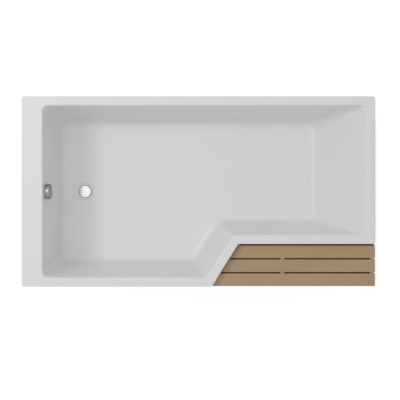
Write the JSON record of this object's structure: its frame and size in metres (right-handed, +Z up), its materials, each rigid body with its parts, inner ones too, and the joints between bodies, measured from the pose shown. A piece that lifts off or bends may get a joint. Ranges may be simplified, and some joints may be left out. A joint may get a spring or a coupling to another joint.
{
  "type": "shower bath",
  "caption": "Shower bath with a wide standing end, a slanting step in its front, an overflow knob that lifts the plug, levelling feet and a slatted wooden shelf in the corner.",
  "frame": {"origin": "on the floor under the middle of the rectangle that bath and shelf fill", "axes": "+X from the tap end to the head end, +Y from the open front to the wall side, +Z up"},
  "size_m": [1.704, 0.915, 0.6],
  "materials": {
    "acrylic": "white cast acrylic, polished",
    "glass_fibre": "sprayed resin and chopped glass, rough",
    "board": "raw chipboard",
    "softwood": "planed softwood",
    "galvanised": "galvanised steel sheet",
    "zinc": "bright zinc plate",
    "stainless": "turned stainless steel",
    "chrome": "polished chrome plate",
    "rubber": "matt black rubber",
    "drain_plastic": "moulded white polypropylene",
    "pad_plastic": "moulded black nylon",
    "sheath": "black vinyl sheath",
    "teak": "oiled teak, slightly weathered"
  },
  "bodies": {
    "bath": {"base_board": "board", "bearer_end": "teak", "bearer_middle": "teak", "bearer_step": "teak", "cable_sheath": "sheath", "foot_nuts": "zinc", "glass_fibre_coat": "glass_fibre", "leg_glides": "pad_plastic", "lever_box_cap": "drain_plastic", "lever_pin": "stainless", "outlet_nut": "drain_plastic", "overflow_cup": "drain_plastic", "overflow_gasket": "rubber", "overflow_pipe": "drain_plastic", "overflow_ring": "chrome", "pipe_nuts": "drain_plastic", "pipe_seals": "rubber", "rail_head": "galvanised", "rail_middle": "galvanised", "rail_screws": "zinc", "rail_tap": "galvanised", "rim_battens": "softwood", "shelf_brackets": "galvanised", "shelf_leg_left": "teak", "shelf_leg_right": "teak", "shelf_rail_front": "teak", "shelf_rail_rear": "teak", "shelf_screws": "stainless", "slat_1": "teak", "slat_2": "teak", "slat_3": "teak", "slat_spacers": "teak", "stretcher": "teak", "tap_deck_board": "board", "trap_bend": "drain_plastic", "trap_nut": "drain_plastic", "trap_washer": "rubber", "tub_shell": "acrylic", "wall_clips": "galvanised", "waste_body": "drain_plastic", "waste_flange": "chrome", "waste_gasket": "rubber"},
    "knob": {"overflow_knob": "chrome", "knob_spindle": "stainless"},
    "plug": {"plug_cap": "chrome", "plug_seal": "rubber", "plug_stem": "stainless"},
    "lever": {"lift_lever": "stainless"},
    "foot_1": {"foot_stud_1": "zinc", "foot_pad_1": "pad_plastic"},
    "foot_2": {"foot_stud_2": "zinc", "foot_pad_2": "pad_plastic"},
    "foot_3": {"foot_stud_3": "zinc", "foot_pad_3": "pad_plastic"},
    "foot_4": {"foot_stud_4": "zinc", "foot_pad_4": "pad_plastic"},
    "foot_5": {"foot_stud_5": "zinc", "foot_pad_5": "pad_plastic"},
    "foot_6": {"foot_stud_6": "zinc", "foot_pad_6": "pad_plastic"}
  },
  "joints": [
    {"name": "knob_turn", "type": "hinge", "parent": "bath", "child": "knob", "pos_m": [-0.74493, 0, 0.534], "axis": [0.9943, 0, 0.1065], "range_deg": [0, 60]},
    {"name": "plug_lift", "type": "slide", "parent": "bath", "child": "plug", "axis": [0, 0, 1], "range_m": [0, 0.01]},
    {"name": "lever_swing", "type": "hinge", "parent": "bath", "child": "lever", "pos_m": [-0.584, -0.034, 0.133], "axis": [1, 0, 0], "range_deg": [0, 16.91]},
    {"name": "foot_1_height", "type": "slide", "parent": "bath", "child": "foot_1", "axis": [0, 0, 1], "range_m": [-0.012, 0.015]},
    {"name": "foot_2_height", "type": "slide", "parent": "bath", "child": "foot_2", "axis": [0, 0, 1], "range_m": [-0.012, 0.015]},
    {"name": "foot_3_height", "type": "slide", "parent": "bath", "child": "foot_3", "axis": [0, 0, 1], "range_m": [-0.012, 0.015]},
    {"name": "foot_4_height", "type": "slide", "parent": "bath", "child": "foot_4", "axis": [0, 0, 1], "range_m": [-0.012, 0.015]},
    {"name": "foot_5_height", "type": "slide", "parent": "bath", "child": "foot_5", "axis": [0, 0, 1], "range_m": [-0.012, 0.015]},
    {"name": "foot_6_height", "type": "slide", "parent": "bath", "child": "foot_6", "axis": [0, 0, 1], "range_m": [-0.012, 0.015]}
  ],
  "couplings": [
    {"joint": "plug_lift", "follows": "knob_turn", "m_per_rad": 0.0095492},
    {"joint": "lever_swing", "follows": "knob_turn", "ratio": 0.28188}
  ]
}
